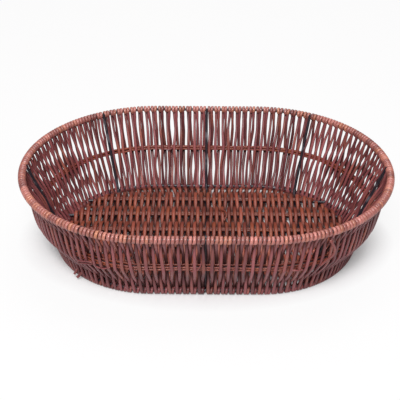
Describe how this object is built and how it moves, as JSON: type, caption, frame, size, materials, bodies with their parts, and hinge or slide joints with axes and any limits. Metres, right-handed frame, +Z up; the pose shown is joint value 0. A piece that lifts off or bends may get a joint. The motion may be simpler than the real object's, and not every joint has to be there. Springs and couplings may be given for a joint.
{
  "type": "bread basket",
  "caption": "Oval open bread basket: reddish-brown woven plastic cord on a dark steel wire frame, with sloping walls, a lashed rim and a flat woven base.",
  "frame": {"origin": "centre of the footprint, on the surface the basket stands on", "axes": "+X along the length, +Y from the front to the back, +Z up out of the open top"},
  "size_m": [0.3, 0.215, 0.07],
  "materials": {
    "frame_wire": "thin satin dark blue-black paint on steel wire",
    "woven_cord": "semi-matte reddish-brown extruded cord with fine lengthwise streaks"
  },
  "bodies": {
    "root": {"base_edge_lashing": "woven_cord", "base_ring_wire": "frame_wire", "base_runner_cords_back_inner": "woven_cord", "base_runner_cords_back_outer": "woven_cord", "base_runner_cords_front_inner": "woven_cord", "base_runner_cords_front_outer": "woven_cord", "base_runner_cords_middle": "woven_cord", "base_weave_lower_left": "woven_cord", "base_weave_lower_left_end": "woven_cord", "base_weave_lower_right": "woven_cord", "base_weave_lower_right_end": "woven_cord", "base_weave_upper": "woven_cord", "base_wire_back_inner": "frame_wire", "base_wire_back_outer": "frame_wire", "base_wire_front_inner": "frame_wire", "base_wire_front_outer": "frame_wire", "cross_wire_left": "frame_wire", "cross_wire_middle": "frame_wire", "cross_wire_right": "frame_wire", "hoop_runner_cord_inner_lower": "woven_cord", "hoop_runner_cord_inner_upper": "woven_cord", "hoop_runner_cord_outer_lower": "woven_cord", "hoop_runner_cord_outer_upper": "woven_cord", "long_wire": "frame_wire", "mid_hoop_wire": "frame_wire", "rim_lashing_back_left": "woven_cord", "rim_lashing_back_right": "woven_cord", "rim_lashing_front_left": "woven_cord", "rim_lashing_front_right": "woven_cord", "rim_lashing_left_back": "woven_cord", "rim_lashing_left_front": "woven_cord", "rim_lashing_right_back": "woven_cord", "rim_lashing_right_front": "woven_cord", "rim_wire": "frame_wire", "wall_weave_lower_back_left": "woven_cord", "wall_weave_lower_back_right": "woven_cord", "wall_weave_lower_front_left": "woven_cord", "wall_weave_lower_front_right": "woven_cord", "wall_weave_lower_left_back": "woven_cord", "wall_weave_lower_left_front": "woven_cord", "wall_weave_lower_right_back": "woven_cord", "wall_weave_lower_right_front": "woven_cord", "wall_weave_upper_back_left": "woven_cord", "wall_weave_upper_back_right": "woven_cord", "wall_weave_upper_front_left": "woven_cord", "wall_weave_upper_front_right": "woven_cord", "wall_weave_upper_left_back": "woven_cord", "wall_weave_upper_left_front": "woven_cord", "wall_weave_upper_right_back": "woven_cord", "wall_weave_upper_right_front": "woven_cord"}
  },
  "joints": []
}
